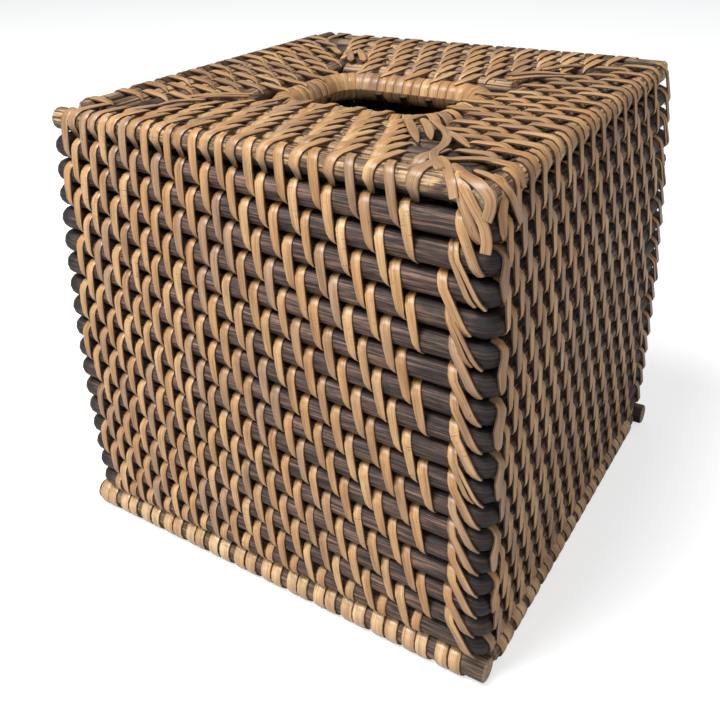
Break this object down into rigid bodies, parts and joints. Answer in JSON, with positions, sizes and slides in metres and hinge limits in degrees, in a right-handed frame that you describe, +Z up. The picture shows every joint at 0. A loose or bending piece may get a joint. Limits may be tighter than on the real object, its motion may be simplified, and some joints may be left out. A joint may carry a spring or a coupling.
{
  "type": "tissue box cover",
  "caption": "Square cover for a cube tissue box, made of rattan core rods laid in courses and lashed together with rattan peel; open underneath, with an oblong opening in its flat top.",
  "frame": {"origin": "middle of the square footprint, on the surface that the cover stands on", "axes": "+Z up through the opening in the top, X along the opening's long sides, -Y out of the front wall"},
  "size_m": [0.1538, 0.1512, 0.145],
  "materials": {
    "dark_rod": "dark stained rattan core, satin, with lengthwise fibres",
    "scuffed_rod": "dark stained rattan core, scuffed to pale wood along its top",
    "top_rod": "stained rattan core, worn brown",
    "foot_rod": "lightly stained rattan core, satin",
    "peel": "honey rattan peel, glossy skin side",
    "foot_peel": "pale rattan peel, glossy skin side"
  },
  "bodies": {
    "root": {"front_edge_rod": "scuffed_rod", "right_edge_rod": "scuffed_rod", "back_edge_rod": "scuffed_rod", "left_edge_rod": "scuffed_rod", "wall_course_02": "dark_rod", "wall_course_03": "dark_rod", "wall_course_04": "dark_rod", "wall_course_05": "dark_rod", "wall_course_06": "dark_rod", "wall_course_07": "dark_rod", "wall_course_08": "dark_rod", "wall_course_09": "dark_rod", "wall_course_10": "dark_rod", "wall_course_11": "dark_rod", "wall_course_12": "dark_rod", "wall_course_13": "dark_rod", "wall_course_14": "dark_rod", "wall_course_15": "dark_rod", "wall_course_16": "dark_rod", "wall_course_17": "dark_rod", "wall_course_18": "dark_rod", "front_foot_rod": "foot_rod", "right_foot_rod": "foot_rod", "back_foot_rod": "foot_rod", "left_foot_rod": "foot_rod", "top_ring_1": "top_rod", "top_ring_2": "top_rod", "top_ring_3": "top_rod", "top_ring_4": "top_rod", "front_filler_rod": "top_rod", "back_filler_rod": "top_rod", "opening_rod": "top_rod", "opening_wrap": "peel", "front_wall_lashing": "peel", "right_wall_lashing": "peel", "back_wall_lashing": "peel", "left_wall_lashing": "peel", "front_top_lashing": "peel", "right_top_lashing": "peel", "back_top_lashing": "peel", "left_top_lashing": "peel", "front_foot_wrap": "foot_peel", "right_foot_wrap": "foot_peel", "back_foot_wrap": "foot_peel", "left_foot_wrap": "foot_peel"}
  },
  "joints": []
}
